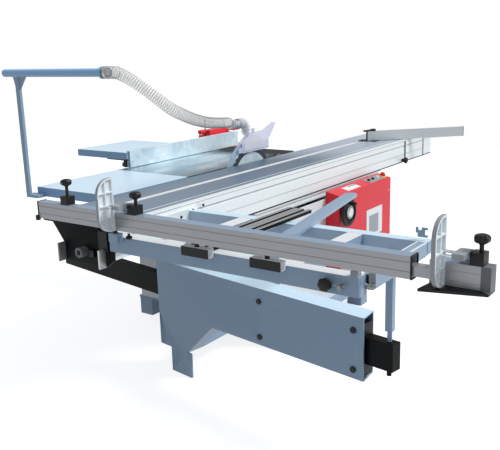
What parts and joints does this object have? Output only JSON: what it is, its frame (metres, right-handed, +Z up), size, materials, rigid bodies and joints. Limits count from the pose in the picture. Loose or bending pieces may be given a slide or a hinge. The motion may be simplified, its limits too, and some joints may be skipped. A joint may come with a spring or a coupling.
{
  "type": "sliding table saw",
  "caption": "Floor-standing sliding table saw with a long carriage, outrigger, crosscut fence, swing arm, rip fence and dust hose.",
  "frame": {"origin": "floor level under the blade arbor, at the centre of the four anchor holes", "axes": "+X to the rip side, +Y in the feed direction towards the outfeed end, +Z up"},
  "size_m": [3.214, 3.2365, 1.437],
  "materials": {
    "paint": "satin powder coat",
    "pale": "satin paint",
    "alu": "satin anodised",
    "cast": "ground and polished",
    "steel": "ground",
    "black": "moulded",
    "dark_steel": "black paint",
    "red": "gloss paint",
    "red_plastic": "gloss",
    "clear": "translucent",
    "hose": "translucent ribbed",
    "rubber": "moulded",
    "stop_grey": "moulded, light grey"
  },
  "bodies": {
    "frame": {"cabinet_front": "pale", "cabinet_rear": "pale", "cabinet_left": "pale", "cabinet_door": "pale", "base_frame": "paint", "main_table": "cast", "outfeed_table": "paint", "rip_table": "paint", "table_brackets": "dark_steel", "trunnion_guides": "dark_steel", "guide_rail": "dark_steel", "control_box": "red", "arm_pedestal": "paint", "rip_rail": "steel", "dust_boom": "paint", "dust_hose": "hose", "dust_port": "dark_steel"},
    "carriage": {"carriage_beam": "alu", "carriage_rear_cap": "dark_steel", "carriage_front_block": "alu", "end_bracket": "steel", "end_buffer": "rubber", "outrigger_mount": "alu", "near_beam": "paint", "far_beam": "paint", "cross_members": "alu", "outrigger_post": "paint", "fence_rests": "dark_steel"},
    "outrigger_knob": {"star_knob": "black"},
    "support": {"support_bar": "paint"},
    "crosscut_fence": {"fence_profile": "alu", "fence_knob": "black"},
    "extension": {"fence_extension": "alu", "extension_foot": "black"},
    "outer_stop": {"end_stop": "stop_grey"},
    "stop_carrier": {"stop_block": "black"},
    "inner_stop": {"flip_stop": "stop_grey"},
    "mitre_slide": {"mitre_base": "black"},
    "mitre": {"mitre_fence": "alu"},
    "mitre_clamp": {"mitre_lever": "black"},
    "carriage_lock": {"lock_knob": "black"},
    "arm": {"arm_housing": "paint", "arm_guides": "black"},
    "arm_slide": {"arm_beam": "dark_steel"},
    "saw_tilt": {"tilt_frame": "dark_steel"},
    "saw_lift": {"arbor_block": "paint", "motor": "paint", "drive_belt": "rubber", "riving_knife": "steel"},
    "main_spindle": {"main_arbor": "steel", "saw_blade": "steel"},
    "motor_spindle": {"motor_pulley": "dark_steel"},
    "scoring_spindle": {"scorer": "steel"},
    "guard": {"blade_guard": "clear"},
    "rip_slide": {"rip_carrier": "red"},
    "rip_clamp": {"rip_lever": "red_plastic"},
    "rip_fence": {"rip_profile": "alu"},
    "tilt_handwheel": {"tilt_wheel": "black"},
    "lift_handwheel": {"lift_wheel": "black"},
    "stop": {"stop_button": "red_plastic"}
  },
  "joints": [
    {"name": "carriage_travel", "type": "slide", "parent": "frame", "child": "carriage", "axis": [0, 1, 0], "range_m": [-0.9, 0.29]},
    {"name": "outrigger_clamp_turn", "type": "hinge", "parent": "carriage", "child": "outrigger_knob", "pos_m": [-1.346, 1.515, 0.812], "axis": [0, 1, 0], "range_deg": [-180, 180]},
    {"name": "support_swing", "type": "hinge", "parent": "carriage", "child": "support", "pos_m": [-0.989, 1.034, 0.843], "axis": [0, 0, 1], "range_deg": [-20, 2]},
    {"name": "fence_mitre", "type": "hinge", "parent": "carriage", "child": "crosscut_fence", "pos_m": [-0.48, 1.53, 0.875], "axis": [0, 0, 1], "range_deg": [0, 45]},
    {"name": "fence_extend", "type": "slide", "parent": "crosscut_fence", "child": "extension", "axis": [-1, 0, 0], "range_m": [0, 0.8]},
    {"name": "outer_stop_flip", "type": "hinge", "parent": "extension", "child": "outer_stop", "pos_m": [-1.759, 1.524, 0.96], "axis": [1, 0, 0], "range_deg": [0, 100]},
    {"name": "stop_travel", "type": "slide", "parent": "crosscut_fence", "child": "stop_carrier", "axis": [1, 0, 0], "range_m": [-0.9, 0.12]},
    {"name": "inner_stop_flip", "type": "hinge", "parent": "stop_carrier", "child": "inner_stop", "pos_m": [-0.546, 1.524, 0.96], "axis": [1, 0, 0], "range_deg": [0, 100]},
    {"name": "mitre_travel", "type": "slide", "parent": "carriage", "child": "mitre_slide", "axis": [0, 1, 0], "range_m": [-0.35, 0.5]},
    {"name": "mitre_turn", "type": "hinge", "parent": "mitre_slide", "child": "mitre", "pos_m": [-0.24, -1.06, 0.875], "axis": [0, 0, 1], "range_deg": [-45, 45]},
    {"name": "mitre_clamp_turn", "type": "hinge", "parent": "mitre", "child": "mitre_clamp", "pos_m": [-0.24, -1.06, 0.937], "axis": [0, 0, 1], "range_deg": [-120, 60]},
    {"name": "carriage_lock_turn", "type": "hinge", "parent": "carriage", "child": "carriage_lock", "pos_m": [-0.418, -1.127, 0.745], "axis": [-1, 0, 0], "range_deg": [-180, 180]},
    {"name": "arm_swing", "type": "hinge", "parent": "frame", "child": "arm", "pos_m": [-0.23, 0.88, 0.292], "axis": [0, 0, -1], "range_deg": [-41.5, 13.3]},
    {"name": "arm_extend", "type": "slide", "parent": "arm", "child": "arm_slide", "axis": [-0.9871, 0.1599, 0], "range_m": [-0.02, 0.45]},
    {"name": "saw_tilting", "type": "hinge", "parent": "frame", "child": "saw_tilt", "pos_m": [0, 0, 0.87], "axis": [0, 1, 0], "range_deg": [0, 45], "deforming": ["dust_hose"]},
    {"name": "saw_lifting", "type": "slide", "parent": "saw_tilt", "child": "saw_lift", "axis": [0, 0, 1], "range_m": [-0.04, 0.015], "deforming": ["dust_hose"]},
    {"name": "blade_spin", "type": "hinge", "parent": "saw_lift", "child": "main_spindle", "pos_m": [0, 0, 0.755], "axis": [1, 0, 0], "continuous": true},
    {"name": "motor_spin", "type": "hinge", "parent": "saw_lift", "child": "motor_spindle", "pos_m": [0.098, 0, 0.493], "axis": [1, 0, 0], "continuous": true},
    {"name": "scorer_spin", "type": "hinge", "parent": "saw_tilt", "child": "scoring_spindle", "pos_m": [0, -0.292, 0.813], "axis": [1, 0, 0], "continuous": true},
    {"name": "guard_raise", "type": "hinge", "parent": "saw_lift", "child": "guard", "pos_m": [0, 0.11791, 0.9459], "axis": [-1, 0, 0], "range_deg": [0, 25], "deforming": ["dust_hose"]},
    {"name": "rip_travel", "type": "slide", "parent": "frame", "child": "rip_slide", "axis": [1, 0, 0], "range_m": [-0.4, 0.74]},
    {"name": "rip_profile_travel", "type": "slide", "parent": "rip_slide", "child": "rip_fence", "axis": [0, 1, 0], "range_m": [-0.3, 0.3]},
    {"name": "rip_clamp_turn", "type": "hinge", "parent": "rip_slide", "child": "rip_clamp", "pos_m": [0.5595, -0.515, 0.956], "axis": [0, 0, 1], "range_deg": [-15, 60]},
    {"name": "tilt_wheel_turn", "type": "hinge", "parent": "frame", "child": "tilt_handwheel", "pos_m": [-0.54, -0.08, 0.622], "axis": [-1, 0, 0], "range_deg": [0, 1440]},
    {"name": "lift_wheel_turn", "type": "hinge", "parent": "frame", "child": "lift_handwheel", "pos_m": [-0.12, -0.45, 0.56], "axis": [0, -1, 0], "range_deg": [-1440, 540]},
    {"name": "stop_press", "type": "slide", "parent": "frame", "child": "stop", "axis": [0.2072, 0, -0.9783], "range_m": [0, 0.004], "stiffness_N_per_m": 600}
  ],
  "couplings": [
    {"joint": "arm_swing", "follows": "carriage_travel", "rad_per_m": 0.8},
    {"joint": "motor_spin", "follows": "blade_spin", "ratio": 1},
    {"joint": "saw_tilting", "follows": "tilt_wheel_turn", "ratio": 0.03125},
    {"joint": "lift_wheel_turn", "follows": "saw_lifting", "rad_per_m": 628.32}
  ]
}
